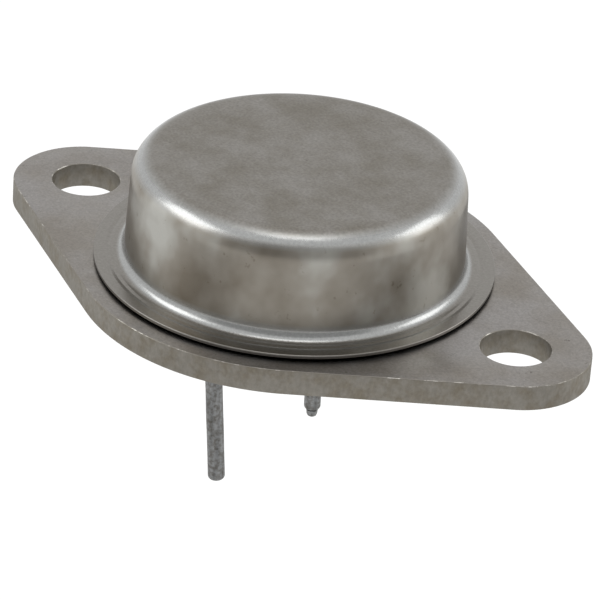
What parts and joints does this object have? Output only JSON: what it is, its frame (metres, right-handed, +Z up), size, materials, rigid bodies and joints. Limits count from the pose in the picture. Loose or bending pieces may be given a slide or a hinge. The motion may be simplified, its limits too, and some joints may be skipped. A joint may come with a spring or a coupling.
{
  "type": "power transistor",
  "caption": "Power transistor in a flat two-hole metal can: diamond base plate, welded round cap, and round leads through glass seals underneath.",
  "frame": {"origin": "centre of the seating face under the base plate, midway between the mounting holes", "axes": "+X along the line of the mounting holes, away from the side the leads are nearer to; +Z up through the cap; the leads point down -Z"},
  "size_m": [0.0388, 0.0252, 0.0199],
  "materials": {
    "nickel_plated_steel": "satin nickel plate over drawn and stamped steel",
    "solder_dipped_lead": "dull grey hot-dipped solder over nickel-iron wire",
    "sealing_glass": "dark fused sealing glass",
    "soft_solder": "dull soft solder",
    "copper": "bare copper",
    "silicon": "polished silicon",
    "aluminium_wire": "soft drawn aluminium",
    "silicone_resin": "cured soft resin"
  },
  "bodies": {
    "root": {"base_plate": "nickel_plated_steel", "cap": "nickel_plated_steel", "emitter_lead": "solder_dipped_lead", "base_lead": "solder_dipped_lead", "emitter_lead_seal": "sealing_glass", "base_lead_seal": "sealing_glass", "spreader_braze": "soft_solder", "heat_spreader": "copper", "die_solder": "soft_solder", "die": "silicon", "emitter_bond_wire": "aluminium_wire", "base_bond_wire": "aluminium_wire", "junction_coat": "silicone_resin"}
  },
  "joints": []
}
